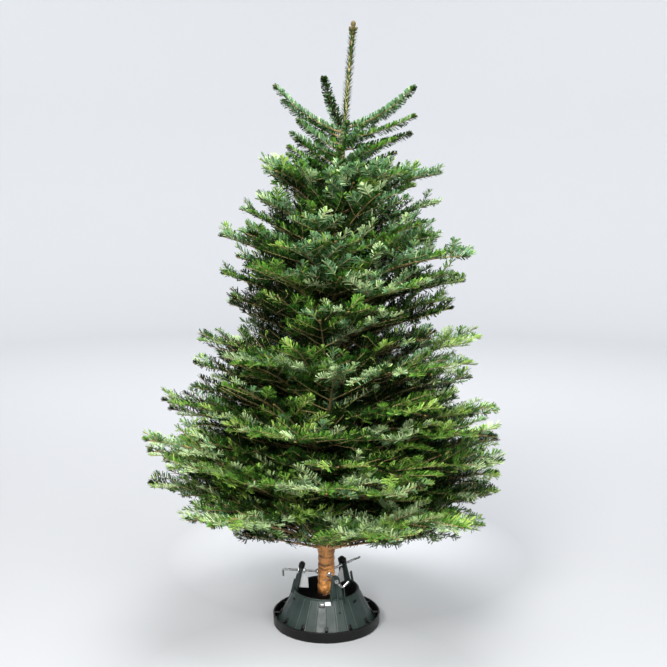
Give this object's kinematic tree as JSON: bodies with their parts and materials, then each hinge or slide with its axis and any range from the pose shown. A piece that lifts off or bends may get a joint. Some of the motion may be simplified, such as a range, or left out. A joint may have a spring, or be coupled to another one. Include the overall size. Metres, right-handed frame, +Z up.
{
  "type": "christmas tree",
  "caption": "Cut fir tree about two metres tall, with whorls of needled boughs, held upright by clamp screws in a round plastic water stand.",
  "frame": {"origin": "centre of the flat underside of the stand's dish", "axes": "+Z up along the foot of the trunk, -Y towards the front, the trunk's top leans to +X"},
  "size_m": [1.1831, 1.2071, 1.965],
  "materials": {
    "trunk_bark": "satin bark with pale rings and knots",
    "bough_bark": "satin bark",
    "needles": "glossy flat needles",
    "young_needles": "glossy flat needles",
    "green_plastic": "satin moulded",
    "black_plastic": "satin moulded",
    "screw_steel": "zinc plated"
  },
  "bodies": {
    "root": {"bough_low_1": "bough_bark", "bough_low_2": "bough_bark", "bough_low_3": "bough_bark", "bough_low_4": "bough_bark", "bough_low_5": "bough_bark", "bough_middle_1": "bough_bark", "bough_middle_2": "bough_bark", "bough_middle_3": "bough_bark", "bough_middle_4": "bough_bark", "bough_middle_5": "bough_bark", "foliage_brush_1": "young_needles", "foliage_brush_2": "young_needles", "foliage_brush_3": "young_needles", "foliage_brush_4": "young_needles", "foliage_high_1": "needles", "foliage_high_2": "needles", "foliage_high_3": "needles", "foliage_high_4": "needles", "foliage_high_5": "needles", "foliage_inner_1": "needles", "foliage_inner_2": "needles", "foliage_inner_3": "needles", "foliage_inner_4": "needles", "foliage_inner_5": "needles", "foliage_low_1": "needles", "foliage_low_2": "needles", "foliage_low_3": "needles", "foliage_low_4": "needles", "foliage_low_5": "needles", "foliage_lower_middle_1": "needles", "foliage_lower_middle_2": "needles", "foliage_lower_middle_3": "needles", "foliage_lower_middle_4": "needles", "foliage_middle_1": "needles", "foliage_middle_2": "needles", "foliage_middle_3": "needles", "foliage_middle_4": "needles", "foliage_middle_5": "needles", "foliage_top_1": "young_needles", "foliage_top_2": "young_needles", "foliage_top_3": "young_needles", "foliage_top_4": "young_needles", "foliage_top_5": "young_needles", "foliage_upper_1": "needles", "foliage_upper_2": "needles", "foliage_upper_3": "needles", "foliage_upper_4": "needles", "foliage_upper_5": "needles", "foliage_upper_middle_1": "needles", "foliage_upper_middle_2": "needles", "foliage_upper_middle_3": "needles", "foliage_upper_middle_4": "needles", "foliage_upper_middle_5": "needles", "leader_shoot": "young_needles", "stand_dish": "black_plastic", "stand_housing": "green_plastic", "stand_screw_1": "screw_steel", "stand_screw_2": "screw_steel", "stand_screw_3": "screw_steel", "trunk": "trunk_bark"}
  },
  "joints": []
}
